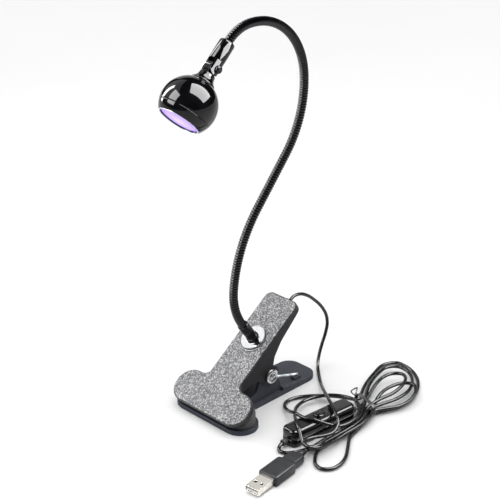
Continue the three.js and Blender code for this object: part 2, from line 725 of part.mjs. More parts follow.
function plugShell() {
  const outer = box(-6, 6, -18.6, 5.6, 2.05, 6.55);
  const inner = box(-5.7, 5.7, -19, 6, 2.35, 6.25);
  const windows = [-2.9, 2.9].map((x) => box(x - 1.2, x + 1.2, -11.6, -9.3, 6, 7));
  return windows.reduce((body, window) => body.subtract(window), outer.subtract(inner));
}

function plugContacts() {
  const bar = box(-4.6, 4.6, 3.4, 4.8, 4.7, 5.1);
  const blades = [-3.5, -1.2, 1.2, 3.5].map((x) => box(x - 0.5, x + 0.5, -16.4, 3.6, 4.7, 5.1));
  return blades.reduce((sum, blade) => sum.add(blade), bar);
}

add(plugFrame, "plug_grip", plugGrip(), plugGrey);
add(plugFrame, "plug_shell", plugShell(), steel);
add(plugFrame, "plug_tongue", box(-5.3, 5.3, -18.3, 5.2, 2.65, 4.4), white);
add(plugFrame, "plug_contacts", plugContacts(), gold);
const reliefProfile = [[0.4, 37.8], [3, 37.8], [2.7, 44], [1.7, 46.4], [0.4, 46.4]];
const relief = alongY(turned(reliefProfile, 20)).translate([0, 0, PLUG.middle]);
add(plugFrame, "plug_relief", relief, plugGrey);

export default lamp;
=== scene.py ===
"""The clip-on ultraviolet lamp's looks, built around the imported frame. Metres, +Z up."""
import json
import math

import bpy
from mathutils import Matrix, Vector


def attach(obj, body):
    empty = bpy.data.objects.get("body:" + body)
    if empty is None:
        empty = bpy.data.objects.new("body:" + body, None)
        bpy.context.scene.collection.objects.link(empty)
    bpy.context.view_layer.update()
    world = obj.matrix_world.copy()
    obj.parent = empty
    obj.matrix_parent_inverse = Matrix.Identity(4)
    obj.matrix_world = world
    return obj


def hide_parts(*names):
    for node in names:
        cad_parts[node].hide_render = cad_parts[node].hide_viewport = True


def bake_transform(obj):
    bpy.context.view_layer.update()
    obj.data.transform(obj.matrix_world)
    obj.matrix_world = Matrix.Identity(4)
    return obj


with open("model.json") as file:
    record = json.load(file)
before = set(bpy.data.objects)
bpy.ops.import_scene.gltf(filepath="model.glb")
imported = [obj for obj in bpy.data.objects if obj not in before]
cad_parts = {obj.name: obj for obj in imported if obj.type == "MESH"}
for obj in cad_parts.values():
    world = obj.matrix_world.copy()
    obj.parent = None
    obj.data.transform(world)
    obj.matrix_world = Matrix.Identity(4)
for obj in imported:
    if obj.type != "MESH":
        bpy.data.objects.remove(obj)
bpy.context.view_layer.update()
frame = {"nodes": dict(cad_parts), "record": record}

# ---------- the frame's own dimensions, in millimetres, as the CAD has them ----------
MM = 0.001
PIVOT_HEIGHT = 24
CLAMP_ANGLE = math.radians(36.2)
NECK_SEAT = 14.8
NECK_FOOT = 36.5
NECK_RADIUS = 3.4
NECK_ARCS = [(9, 0), (35.4, 42.1), (66.5, 34.5), (46.8, 0), (65.4, -45.6), (85.7, -88.9), (23.1, -39.7)]
NECK_CUTS = [0, 52, 100, 148, 196, 244, 290, 338]
RIB_PITCH = 2.1
RIB_DEPTH = 0.85
BALL_RADIUS = 21.2
BALL_DROP = 54
TILT_HEIGHT = 32
TONGUE_RADIUS = 5.4
FORK_RADIUS = 5.15
TIP_RADIUS = 6
CORD_DIAMETER = 2.8
TIE_WIRE_RADIUS = 0.75
SWITCH_WIDTH = 15.5
SWITCH_LENGTH = 66
SWITCH_CORNER = 5.2
PLUG_HEIGHT = 4.3
SPRING_RADIUS = 5.5
SPRING_WIRE_RADIUS = 1.1
SPRING_REACH = 37
SPRING_DROP = 16.4
SPRING_SIDE = 10
SPRING_TURNS = 8
SWITCH_PLACE = (73, -4, 0)
SWITCH_TURN = math.radians(-4.9)
PLUG_PLACE = (95.4, -83.6, 0)
PLUG_TURN = math.radians(7)

# The lead from the lever's end: to the table, over the switch, through the hank, to the switch's far end.
LAMP_ROUTE = [
    (2, 37.2, 72.5), (2, 42.6, 74.6), (2, 49.6, 73.6), (2, 58, 69.2), (2.2, 67, 61.6), (2.4, 75, 53),
    (2.6, 80.6, 43.6), (2.8, 82.2, 35), (3, 80, 26.5), (3.6, 75.4, 18.4), (5, 70.6, 10.8), (8, 65.6, 4.6),
    (13.5, 60.4, 1.9), (21, 53.6, 1.7), (29.6, 46, 3), (38.4, 38, 6.4), (47, 30.4, 9.9),
    (55.6, 23.4, 12.8), (64, 16.8, 15.4), (72, 10.8, 17.1), (79.6, 5.6, 17.2), (86, 1.8, 16),
    (90.4, -1.4, 13.8), (92.8, -6, 11.8), (93.4, -11, 10.2), (90.8, -19, 9.8), (87.4, -26, 10),
    (86.2, -32.4, 10.4), (89.2, -37.8, 10.6), (94.6, -38, 10.2), (98, -32.8, 9), (98, -24, 7.2),
    (96.6, -12, 5.2), (95.6, 2, 4.7),
    (95.2, 20, 4.7), (92.6, 34, 4.7), (89.7, 41.8, 4.7), (94, 51, 4.8), (99, 61, 4.8), (100, 73, 5),
    (96.5, 85, 6.6), (89.5, 91.4, 7.9), (81.5, 87.6, 7.6), (77.5, 75, 7.2), (79, 61, 6.4), (83, 50, 3.6),
    (86.4, 42.7, 1.8), (90.4, 33, 1.7), (94.6, 19, 1.7), (98.3, 4, 1.7), (102, -2, 1.7), (108, -10, 1.7),
    (114, -19, 1.7), (117.6, -29, 1.7), (117, -38, 1.7), (111.5, -43.4, 1.7), (104.5, -42, 1.7),
    (98.6, -36, 1.7), (94.2, -29, 1.7), (92.6, -20, 1.7), (92.6, -4, 1.7), (92, 12, 1.7), (88.6, 28, 2.6),
    (82.6, 43.6, 4.9), (83.6, 56, 6.8), (86.4, 69, 8.2), (85.2, 82, 9.4), (79.8, 92.6, 9.4), (72, 97.4, 8.2),
    (65.2, 93, 7.4), (63.6, 83.6, 7.2), (66, 72, 6.6), (70.6, 58, 4), (74.4, 46.4, 2.6), (76.4, 38.4, 3.8),
    (76.2, 33.5, 4),
]
# From the switch's near end: into the hank, round the two loose turns, round the hank again and to the plug.
PLUG_ROUTE = [
    (69.8, -41.6, 4), (70.4, -45.4, 2.8), (73.2, -48.2, 2), (77.4, -47.4, 1.7), (81.4, -43.2, 1.7),
    (84.8, -36.4, 1.7), (88, -26, 1.7), (89.6, -12, 1.7), (89.6, 8, 1.7), (89.4, 24, 1.7), (88.7, 36, 1.7),
    (88.8, 42.1, 1.8), (92.4, 52, 1.9), (96.6, 65, 1.9), (96.2, 80, 1.9), (90, 96, 1.9), (78, 110, 1.9),
    (63.6, 117.4, 1.9), (50.6, 117.6, 1.9), (45, 107, 2), (49.6, 88, 2.4), (57, 69, 3), (65, 55, 3.8),
    (69.8, 48, 5.2), (67.6, 42.2, 6), (60.4, 38.4, 6.2), (45.4, 31.2, 4.4), (34.4, 24.4, 2.2),
    (28.4, 15.6, 1.5), (28, 6.6, 1.6), (33.4, -0.6, 2.6), (42, -6, 5.2), (51.4, -12.4, 10.8),
    (60.4, -16.8, 15.3), (69, -17.2, 15.7), (77.6, -13.6, 15.6), (84.6, -7.6, 12.6), (89.8, 1.5, 9),
    (91.4, 12, 8.6), (88.6, 23.6, 8.8), (82, 32.6, 9.2), (73.4, 38.2, 9), (62.6, 38, 8), (51.6, 31.6, 7.4),
    (43.8, 23.4, 5.6), (41, 13.4, 5), (45, 0.4, 6.4), (52.6, -9.4, 8.2), (60.6, -17.6, 11.8),
    (66.8, -23.6, 15.5), (72.2, -27.8, 15.8), (77.4, -31, 15), (82, -33.8, 11), (87, -35.6, 7.8),
    (91.4, -34.4, 7.2), (93.6, -28.6, 6.8), (93.2, -18, 5.4), (92.6, -4, 4.7), (92.4, 14, 4.7),
    (89.8, 30, 4.7), (85.9, 42.8, 4.8), (87.6, 54, 5), (90.8, 68, 5), (89.8, 84, 5), (82.8, 98, 5),
    (71.4, 107.6, 4.9), (59.4, 109.2, 4.9), (53, 101.4, 5), (55.4, 86, 5.4), (61.8, 69, 5.8),
    (69.6, 56, 5.4), (77.6, 44.9, 4.8), (84.2, 34, 4.7), (87.8, 24, 4.7), (89.2, 10, 4.7), (89.6, -6, 4.7),
    (90, -20, 4.6), (90.2, -30, 4.4), (89.8, -37.4, 4.3),
]
TIE_CENTRE = (79.4, 43)
TIE_TURN = math.radians(-14)


# ---------- placing ----------
def matrix_at(place, axis="Z", turn=0.0):
    """A frame at a place in millimetres, turned about one axis."""
    return Matrix.Translation(Vector(place) * MM) @ Matrix.Rotation(turn, 4, axis)


def neck_at(distance):
    """The neck's centreline: (y, z, angle from straight up) in millimetres and radians."""
    angle = -CLAMP_ANGLE
    y = NECK_SEAT * math.cos(CLAMP_ANGLE) - NECK_FOOT * math.sin(CLAMP_ANGLE)
    z = PIVOT_HEIGHT + NECK_SEAT * math.sin(CLAMP_ANGLE) + NECK_FOOT * math.cos(CLAMP_ANGLE)
    left = distance
    for index, (length, turn) in enumerate(NECK_ARCS):
        part = min(left, length)
        bend = math.radians(turn) * part / length
        chord = part if abs(bend) < 1e-9 else 2 * part * math.sin(bend / 2) / bend
        y += chord * math.sin(angle + bend / 2)
        z += chord * math.cos(angle + bend / 2)
        angle += bend
        left -= part
        if index == len(NECK_ARCS) - 1 and left > 0:
            y += left * math.sin(angle)
            z += left * math.cos(angle)
    return y, z, angle


def head_matrix():
    y, z, angle = neck_at(sum(length for length, _ in NECK_ARCS))
    centre = (0, y + BALL_DROP * math.sin(angle), z + BALL_DROP * math.cos(angle))
    return matrix_at(centre, "X", math.pi - angle)


UPPER = matrix_at((0, 0, PIVOT_HEIGHT), "X", CLAMP_ANGLE)
FOOT = UPPER @ matrix_at((0, NECK_SEAT, 0))
PIVOT = matrix_at((0, 0, PIVOT_HEIGHT))
HEAD = head_matrix()
SWITCH = matrix_at(SWITCH_PLACE, "Z", SWITCH_TURN)
PLUG = matrix_at(PLUG_PLACE, "Z", PLUG_TURN)
ALONG_X = Matrix.Rotation(math.pi / 2, 4, "Y")
ALONG_Y = Matrix.Rotation(-math.pi / 2, 4, "X")


# ---------- mesh building ----------
def mesh_piece(name, points, faces, matrix):
    """A smooth-shaded mesh from points in millimetres in the frame given."""
    mesh = bpy.data.meshes.new(name)
    mesh.from_pydata([matrix @ (Vector(p) * MM) for p in points], [], faces)
    mesh.validate()
    mesh.update()
    mesh.polygons.foreach_set("use_smooth", [True] * len(mesh.polygons))
    piece = bpy.data.objects.new(name, mesh)
    bpy.context.scene.collection.objects.link(piece)
    return piece


def soften(piece, width, segments=3, angle=28, weld=False):
    """Rounds the sharp edges of a piece by a width in millimetres."""
    if weld:
        join = piece.modifiers.new("weld", "WELD")
        join.merge_threshold = 0.00002
        flat = piece.modifiers.new("flat", "DECIMATE")
        flat.decimate_type = "DISSOLVE"
        flat.angle_limit = math.radians(0.6)
    bevel = piece.modifiers.new("edges", "BEVEL")
    bevel.width = width * MM
    bevel.segments = segments
    bevel.limit_method = "ANGLE"
    bevel.angle_limit = math.radians(angle)
    bevel.harden_normals = False
    normals = piece.modifiers.new("normals", "WEIGHTED_NORMAL")
    normals.keep_sharp = False
    return piece


def rings_to_mesh(name, rings, matrix, closed=False, caps=True):
    """Joins rings of equal length into one surface."""
    count = len(rings[0])
    points = [p for ring in rings for p in ring]
    faces = []
    spans = len(rings) if closed else len(rings) - 1
    for i in range(spans):
        a, b = i * count, ((i + 1) % len(rings)) * count
        for k in range(count):
            n = (k + 1) % count
            faces.append((a + k, a + n, b + n, b + k))
    if caps and not closed:
        faces.append(tuple(reversed(range(count))))
        faces.append(tuple(range((len(rings) - 1) * count, len(rings) * count)))
    return mesh_piece(name, points, faces, matrix)


def circle(radius, count):
    """Points round a circle, as (x, y) in millimetres."""
    angles = [2 * math.pi * i / count for i in range(count)]
    return [(radius * math.cos(angle), radius * math.sin(angle)) for angle in angles]


def turned(name, profile, matrix, segments=72):
    """A profile of (radius, height) turned about Z. Points on the axis become small rings that are capped."""
    tiny = 0.02
    rings = []
    for radius, height in profile:
        rings.append([(x, y, height) for x, y in circle(max(radius, tiny), segments)])
    on_axis = profile[0][0] < tiny and profile[-1][0] < tiny
    return rings_to_mesh(name, rings, matrix, closed=not on_axis, caps=on_axis)


def spline(points, per_span=8):
    """A smooth curve through points: Catmull-Rom, as vectors in millimetres."""
    p = [Vector(q) for q in points]
    p = [2 * p[0] - p[1]] + p + [2 * p[-1] - p[-2]]
    out = []
    for i in range(1, len(p) - 2):
        knots = [0.0]
        for a, b in zip(p[i - 1:i + 2], p[i:i + 3]):
            knots.append(knots[-1] + max((b - a).length, 1e-6) ** 0.5)
        t0, t1, t2, t3 = knots
        for s in range(per_span):
            t = t1 + (t2 - t1) * s / per_span
            a1 = p[i - 1] * ((t1 - t) / (t1 - t0)) + p[i] * ((t - t0) / (t1 - t0))
            a2 = p[i] * ((t2 - t) / (t2 - t1)) + p[i + 1] * ((t - t1) / (t2 - t1))
            a3 = p[i + 1] * ((t3 - t) / (t3 - t2)) + p[i + 2] * ((t - t2) / (t3 - t2))
            b1 = a1 * ((t2 - t) / (t2 - t0)) + a2 * ((t - t0) / (t2 - t0))
            b2 = a2 * ((t3 - t) / (t3 - t1)) + a3 * ((t - t1) / (t3 - t1))
            out.append(b1 * ((t2 - t) / (t2 - t1)) + b2 * ((t - t1) / (t2 - t1)))
    out.append(p[-2])
    return out


def tube(name, path, radius, matrix=Matrix.Identity(4), sides=16, closed=False):
    """A round tube along a list of vectors, its rings carried along without twist."""
    count = len(path)
    ahead = []
    for i in range(count):
        before = path[i - 1] if i > 0 or closed else path[i]
        after = path[(i + 1) % count] if i < count - 1 or closed else path[i]
        ahead.append((after - before).normalized())
    side = ahead[0].orthogonal().normalized()
    rings = []
    for i in range(count):
        side = (side - ahead[i] * side.dot(ahead[i])).normalized()
        up = ahead[i].cross(side)
        rings.append([path[i] + x * side + y * up for x, y in circle(radius, sides)])
    return rings_to_mesh(name, rings, matrix, closed=closed)


def rounded_outline(width, length, radius, count=16):
    """A rounded rectangle's outline, count points a corner, in millimetres."""
    x, y = width / 2 - radius, length / 2 - radius
    out = []
    for centre_x, centre_y, start in ((x, -y, -90), (x, y, 0), (-x, y, 90), (-x, -y, 180)):
        for i in range(count):
            angle = math.radians(start + 90 * i / (count - 1))
            out.append((centre_x + radius * math.cos(angle), centre_y + radius * math.sin(angle)))
    return out


# ---------- materials ----------
COAT_ROUGHNESS = 0.05


def shader(name, color, roughness, metallic=0.0, coat=0.0, specular=0.5):
    material = bpy.data.materials.new(name)
    material.use_nodes = True
    nodes, links = material.node_tree.nodes, material.node_tree.links
    surface = nodes["Principled BSDF"]
    surface.inputs["Base Color"].default_value = (*color, 1)
    surface.inputs["Roughness"].default_value = roughness
    surface.inputs["Metallic"].default_value = metallic
    surface.inputs["Specular IOR Level"].default_value = specular
    surface.inputs["Coat Weight"].default_value = coat
    surface.inputs["Coat Roughness"].default_value = COAT_ROUGHNESS
    place = nodes.new("ShaderNodeTexCoord")
    return material, nodes, links, surface, place.outputs["Object"]


def noise(nodes, links, place, scale, detail=3.0, stretch=None):
    texture = nodes.new("ShaderNodeTexNoise")
    texture.inputs["Scale"].default_value = scale
    texture.inputs["Detail"].default_value = detail
    if stretch:
        mapping = nodes.new("ShaderNodeMapping")
        mapping.inputs["Scale"].default_value = stretch
        links.new(place, mapping.inputs["Vector"])
        place = mapping.outputs["Vector"]
    links.new(place, texture.inputs["Vector"])
    return texture.outputs["Fac"]


def vary(nodes, links, source, target, low, high):
    """Drives a socket between two values with a 0 to 1 source."""
    span = nodes.new("ShaderNodeMapRange")
    span.inputs["From Min"].default_value = 0.3
    span.inputs["From Max"].default_value = 0.7
    span.inputs["To Min"].default_value = low
    span.inputs["To Max"].default_value = high
    links.new(source, span.inputs["Value"])
    links.new(span.outputs["Result"], target)


def tint(nodes, links, source, target, dark, light):
    ramp = nodes.new("ShaderNodeValToRGB")
    ramp.color_ramp.elements[0].position = 0.35
    ramp.color_ramp.elements[0].color = (*dark, 1)
    ramp.color_ramp.elements[1].position = 0.65
    ramp.color_ramp.elements[1].color = (*light, 1)
    links.new(source, ramp.inputs["Fac"])
    links.new(ramp.outputs["Color"], target)


def bump(nodes, links, height, surface, strength, distance):
    node = nodes.new("ShaderNodeBump")
    node.inputs["Strength"].default_value = strength
    node.inputs["Distance"].default_value = distance
    links.new(height, node.inputs["Height"])
    links.new(node.outputs["Normal"], surface.inputs["Normal"])


def moulded(name, dark, light, roughness, grain, depth, coat=0.0, specular=0.5):
    """Moulded plastic or rubber: slow colour drift, a fine spark-eroded grain, uneven gloss."""
    material, nodes, links, surface, place = shader(name, light, roughness, coat=coat, specular=specular)
    tint(nodes, links, noise(nodes, links, place, 60), surface.inputs["Base Color"], dark, light)
    fine = noise(nodes, links, place, grain, 4)
    uneven = noise(nodes, links, place, 180)
    vary(nodes, links, uneven, surface.inputs["Roughness"], roughness - 0.06, roughness + 0.08)
    bump(nodes, links, fine, surface, 0.5, depth)
    return material


def polished(name, dark, light, roughness, streaks):
    """Bright metal: faint streaks in its gloss and colour."""
    material, nodes, links, surface, place = shader(name, light, roughness, metallic=1.0)
    grain = noise(nodes, links, place, 260, 3, streaks)
    tint(nodes, links, grain, surface.inputs["Base Color"], dark, light)
    vary(nodes, links, grain, surface.inputs["Roughness"], roughness * 0.8, roughness * 1.3)
    bump(nodes, links, grain, surface, 0.04, 0.000002)
    return material


def lacquer(name, color, roughness, wave, specular=0.3):
    """Black gloss lacquer with a very slight orange peel."""
    material, nodes, links, surface, place = shader(name, color, roughness, specular=specular)
    lighter = tuple(c * 1.6 + 0.001 for c in color)
    tint(nodes, links, noise(nodes, links, place, 90), surface.inputs["Base Color"], color, lighter)
    uneven = noise(nodes, links, place, 300)
    vary(nodes, links, uneven, surface.inputs["Roughness"], roughness, roughness * 1.6)
    bump(nodes, links, noise(nodes, links, place, wave, 1), surface, 0.04, 0.00001)
    return material


def glitter(name):
    """Silver glitter under a clear film: each flake has its own grey and its own tilt."""
    material, nodes, links, surface, place = shader(name, (0.3, 0.3, 0.31), 0.45, specular=0.3)
    flakes = nodes.new("ShaderNodeTexVoronoi")
    flakes.inputs["Scale"].default_value = 1150
    links.new(place, flakes.inputs["Vector"])
    split = nodes.new("ShaderNodeSeparateColor")
    links.new(flakes.outputs["Color"], split.inputs["Color"])
    ramp = nodes.new("ShaderNodeValToRGB")
    ramp.color_ramp.elements[0].color = (0.04, 0.04, 0.042, 1)
    ramp.color_ramp.elements[1].position = 0.97
    ramp.color_ramp.elements[1].color = (0.6, 0.6, 0.62, 1)
    middle = ramp.color_ramp.elements.new(0.6)
    middle.color = (0.15, 0.15, 0.158, 1)
    links.new(split.outputs["Red"], ramp.inputs["Fac"])
    links.new(ramp.outputs["Color"], surface.inputs["Base Color"])
    geometry = nodes.new("ShaderNodeNewGeometry")
    spread = nodes.new("ShaderNodeVectorMath")
    spread.operation = "MULTIPLY_ADD"
    spread.inputs[1].default_value = (0.7, 0.7, 0.7)
    spread.inputs[2].default_value = (-0.35, -0.35, -0.35)
    links.new(flakes.outputs["Color"], spread.inputs[0])
    total = nodes.new("ShaderNodeVectorMath")
    total.operation = "ADD"
    links.new(spread.outputs["Vector"], total.inputs[0])
    links.new(geometry.outputs["Normal"], total.inputs[1])
    unit = nodes.new("ShaderNodeVectorMath")
    unit.operation = "NORMALIZE"
    links.new(total.outputs["Vector"], unit.inputs[0])
    links.new(unit.outputs["Vector"], surface.inputs["Normal"])
    return material


def glowing_lens(name):
    """A frosted violet lens lit from behind: paler in the middle than at its rim."""
    material, nodes, links, surface, place = shader(name, (0.08, 0.05, 0.16), 0.3)
    centre = HEAD @ (Vector((0, 0, -12.5)) * MM)
    away = nodes.new("ShaderNodeVectorMath")
    away.operation = "DISTANCE"
    away.inputs[1].default_value = centre
    links.new(place, away.inputs[0])
    span = nodes.new("ShaderNodeMapRange")
    span.inputs["From Max"].default_value = 0.015
    links.new(away.outputs["Value"], span.inputs["Value"])
    ramp = nodes.new("ShaderNodeValToRGB")
    ramp.color_ramp.elements[0].color = (0.66, 0.52, 1.0, 1)
    ramp.color_ramp.elements[1].color = (0.36, 0.2, 1.0, 1)
    links.new(span.outputs["Result"], ramp.inputs["Fac"])
    links.new(ramp.outputs["Color"], surface.inputs["Emission Color"])
    surface.inputs["Emission Strength"].default_value = 0.95
    bump(nodes, links, noise(nodes, links, place, 900), surface, 0.2, 0.00002)
    return material


# Name: darkest and lightest colour, roughness, the grain's scale and depth, other shader values.
MOULDED = {
    "clamp_plastic": ((0.011, 0.011, 0.013), (0.018, 0.018, 0.021), 0.42, 1800, 0.00003, {"specular": 0.22}),
    "lever_plastic": ((0.02, 0.024, 0.036), (0.03, 0.035, 0.052), 0.46, 1800, 0.00003, {"specular": 0.25}),
    "pad_rubber": ((0.012, 0.012, 0.013), (0.02, 0.02, 0.021), 0.7, 1500, 0.00004, {}),
    "white_plastic": ((0.66, 0.66, 0.64), (0.78, 0.78, 0.76), 0.5, 1500, 0.00002, {}),
    "led_phosphor": ((0.75, 0.6, 0.1), (0.85, 0.72, 0.16), 0.3, 900, 0.00001, {}),
    "cord_sheath": ((0.004, 0.004, 0.005), (0.009, 0.009, 0.01), 0.24, 700, 0.000012, {"specular": 0.35}),
    "tie_wire": ((0.006, 0.006, 0.007), (0.014, 0.014, 0.015), 0.3, 900, 0.00002, {"coat": 0.2}),
    "switch_plastic": ((0.004, 0.004, 0.005), (0.008, 0.008, 0.009), 0.15, 900, 0.000008, {"specular": 0.35}),
    "plug_plastic": ((0.013, 0.014, 0.017), (0.022, 0.023, 0.027), 0.4, 2200, 0.00004, {"specular": 0.3}),
}
# Name: darkest colour, lightest colour, roughness, and how the streaks are stretched along each axis.
POLISHED = {
    "chrome": ((0.78, 0.79, 0.81), (0.85, 0.85, 0.87), 0.14, (1, 1, 1)),
    "spring_steel": ((0.6, 0.64, 0.68), (0.7, 0.74, 0.78), 0.34, (1, 1, 1)),
    "zinc": ((0.34, 0.35, 0.37), (0.52, 0.53, 0.55), 0.35, (1, 1, 1)),
    "reflector": ((0.75, 0.75, 0.78), (0.88, 0.88, 0.9), 0.12, (1, 1, 1)),
    "heat_sink": ((0.5, 0.51, 0.52), (0.64, 0.65, 0.66), 0.35, (1, 1, 6)),
    "plug_steel": ((0.6, 0.57, 0.52), (0.76, 0.74, 0.69), 0.22, (1, 14, 1)),
    "contact_gold": ((0.75, 0.52, 0.2), (0.9, 0.68, 0.32), 0.18, (1, 1, 1)),
}


def make_materials():
    made = {name: moulded(name, *row[:-1], **row[-1]) for name, row in MOULDED.items()}
    made.update({name: polished(name, *row) for name, row in POLISHED.items()})
    made["glitter_sheet"] = glitter("glitter_sheet")
    made["black_gloss"] = lacquer("black_gloss", (0.004, 0.004, 0.005), 0.05, 40)
    made["neck_finish"] = lacquer("neck_finish", (0.003, 0.003, 0.004), 0.08, 60, 0.42)
    made["violet_lens"] = glowing_lens("violet_lens")
    return made


materials = make_materials()


def dress(piece, slot_name, body=None, stands_for=()):
    """Gives a new piece its finish and its CAD body, and hides the CAD nodes that it stands for."""
    piece.data.materials.append(materials[slot_name])
    if body:
        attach(piece, body)
    if stands_for:
        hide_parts(*stands_for)
    return piece


def dress_frame():
    for part in frame["record"]["subparts"]:
        node = frame["nodes"][part["node"]]
        node.data.materials.clear()
        node.data.materials.append(materials[part["material_slot"]])
        node.data.polygons.foreach_set("use_smooth", [True] * len(node.data.polygons))


EDGE_ROUNDING = {
    "lower_lever": 0.5, "upper_lever": 0.5, "glitter_panel": 0.28, "upper_jaw_pad": 0.4, "lower_jaw_pad": 0.4,
    "pivot_nut": 0.3, "neck_stud": 0.2, "lock_washer": 0.15, "stud_nut": 0.3,
    "cord_grommet": 0.2, "stem_collar": 0.06, "reflector": 0.1, "led_board": 0.04,
    "led_emitter": 0.3, "heat_sink": 0.2, "head_lead": 0.1, "lever_lead": 0.1, "switch_contacts": 0.3,
    "switch_bush_near": 0.3, "switch_bush_far": 0.3, "plug_shell": 0.12, "plug_tongue": 0.15,
    "plug_contacts": 0.06,
}


def round_frame_edges():
    for name, width in EDGE_ROUNDING.items():
        soften(frame["nodes"][name], width, 3, 30, weld=True)


# ---------- camera, light and floor ----------
BRIGHT_METAL = ["washer_dome", "pivot_screw_body", "pivot_screw_cross_1", "pivot_screw_cross_2"]
OTHER_METAL = [
    "tilt_screw_body", "opening_rim", "spring_wire", "plug_shell", "pivot_nut", "lock_washer", "stud_nut",
]
LEVERS = ["upper_lever", "lower_lever", "upper_jaw_pad", "lower_jaw_pad", "plug_body"]
STEM = ["tip_ferrule_body", "tip_fork_right", "stem_flare"]


def make_camera():
    azimuth, elevation = math.radians(44.98), math.radians(25.15)
    back = Vector((
        math.sin(azimuth) * math.cos(elevation),
        -math.cos(azimuth) * math.cos(elevation),
        math.sin(elevation),
    ))
    data = bpy.data.cameras.new("camera")
    data.lens = 101.8
    data.sensor_width = 36
    data.clip_end = 20
    camera = bpy.data.objects.new("camera", data)
    camera.location = Vector((0.0543, -0.06058, 0.16683)) + back
    camera.rotation_euler = back.to_track_quat("Z", "Y").to_euler()
    bpy.context.scene.collection.objects.link(camera)
    bpy.context.scene.camera = camera


def sky_light(name, strength, spread):
    data = bpy.data.lights.new(name, "SUN")
    data.energy = strength
    data.angle = math.radians(spread)
    light = bpy.data.objects.new(name, data)
    bpy.context.scene.collection.objects.link(light)
    return light


def softbox(name, target, direction, width, height, radiance):
    """A panel that shows only in glossy surfaces, a metre off and square on to its target."""
    data = bpy.data.lights.new(name, "AREA")
    data.shape = "RECTANGLE"
    data.size, data.size_y = width, height
    data.energy = radiance * math.pi * width * height
    light = bpy.data.objects.new(name, data)
    aim = Vector(direction).normalized()
    light.location = target + aim
    light.rotation_euler = aim.to_track_quat("Z", "Y").to_euler()
    light.visible_diffuse = False
    bpy.context.scene.collection.objects.link(light)
    return light


def link_light(light, names, state):
    """Shows a light on the named pieces alone (INCLUDE), or on all but them (EXCLUDE)."""
    receivers = bpy.data.collections.new(light.name + "_receivers")
    for name in names:
        receivers.objects.link(bpy.data.objects[name])
    for entry in receivers.collection_objects:
        entry.light_linking.link_state = state
    light.light_linking.receiver_collection = receivers


def make_studio():
    world = bpy.data.worlds.new("studio")
    world.use_nodes = True
    background = world.node_tree.nodes["Background"]
    background.inputs["Color"].default_value = (1, 1, 1, 1)
    background.inputs["Strength"].default_value = 0.6
    world.cycles_visibility.glossy = False
    bpy.context.scene.world = world
    bpy.context.scene.view_settings.view_transform = "Standard"
    overhead = sky_light("overhead", 1.5, 70)
    overhead.rotation_euler = (math.radians(12), math.radians(-8), 0)
    overhead.visible_glossy = False
    metal_sky = sky_light("metal_sky", 0.35, 178)
    metal_sky.visible_diffuse = False
    link_light(metal_sky, BRIGHT_METAL + OTHER_METAL, "INCLUDE")
    ball, clamp, plug = HEAD.translation, PIVOT.translation, PLUG.translation
    window_right = softbox("window_right", ball, (0.48, 0.44, 0.76), 0.95, 1.25, 20)
    strip_left = softbox("strip_left", ball, (-0.91, -0.19, 0.37), 0.2, 0.9, 24)
    window_left = softbox("window_left", ball, (-0.39, -0.74, 0.54), 0.6, 0.8, 15)
    neck = [f"gooseneck_{i}" for i in range(1, len(NECK_CUTS) - 1)]
    link_light(window_right, BRIGHT_METAL + neck, "EXCLUDE")
    link_light(strip_left, BRIGHT_METAL, "EXCLUDE")
    link_light(window_left, BRIGHT_METAL, "EXCLUDE")
    stem = HEAD @ (Vector((0, 0, 45)) * MM)
    sheet_stem = softbox("sheet_stem", stem, (0.97, 0.01, 0.23), 1.1, 1.1, 26)
    link_light(sheet_stem, STEM, "INCLUDE")
    softbox("sheet_clamp", clamp, (-0.64, -0.21, 0.74), 0.9, 0.9, 1.0)
    softbox("sheet_plug", plug, (-0.64, 0.64, 0.42), 0.6, 0.6, 0.9)
    sheet_edges = softbox("sheet_edges", clamp, (0.72, -0.17, 0.67), 0.6, 0.6, 7)
    link_light(sheet_edges, LEVERS, "INCLUDE")


def make_floor():
    size = 6
    corners = [(-size, -size), (size, -size), (size, size), (-size, size)]
    points = [(x * 1000, y * 1000, -0.2) for x, y in corners]
    floor = mesh_piece("floor", points, [(0, 1, 2, 3)], Matrix.Identity(4))
    material, nodes, links, surface, place = shader("floor_paper", (0.93, 0.93, 0.93), 0.7)
    slow = noise(nodes, links, place, 3)
    tint(nodes, links, slow, surface.inputs["Base Color"], (0.925, 0.925, 0.925), (0.94, 0.94, 0.94))
    floor.data.materials.append(material)


def make_lead():
    lamp_path = spline(LAMP_ROUTE, 6)
    lamp_lead = tube("lamp_lead", lamp_path, CORD_DIAMETER / 2)
    dress(lamp_lead, "cord_sheath", stands_for=("lamp_cord", "cord_hank", "droop_loop"))
    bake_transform(lamp_lead)
    plug_path = spline(PLUG_ROUTE, 6)
    plug_lead = tube("plug_lead", plug_path, CORD_DIAMETER / 2)
    dress(plug_lead, "cord_sheath", "lower_lever", ("loose_loop", "switch_cord"))
    return lamp_lead, lamp_path, plug_lead, plug_path


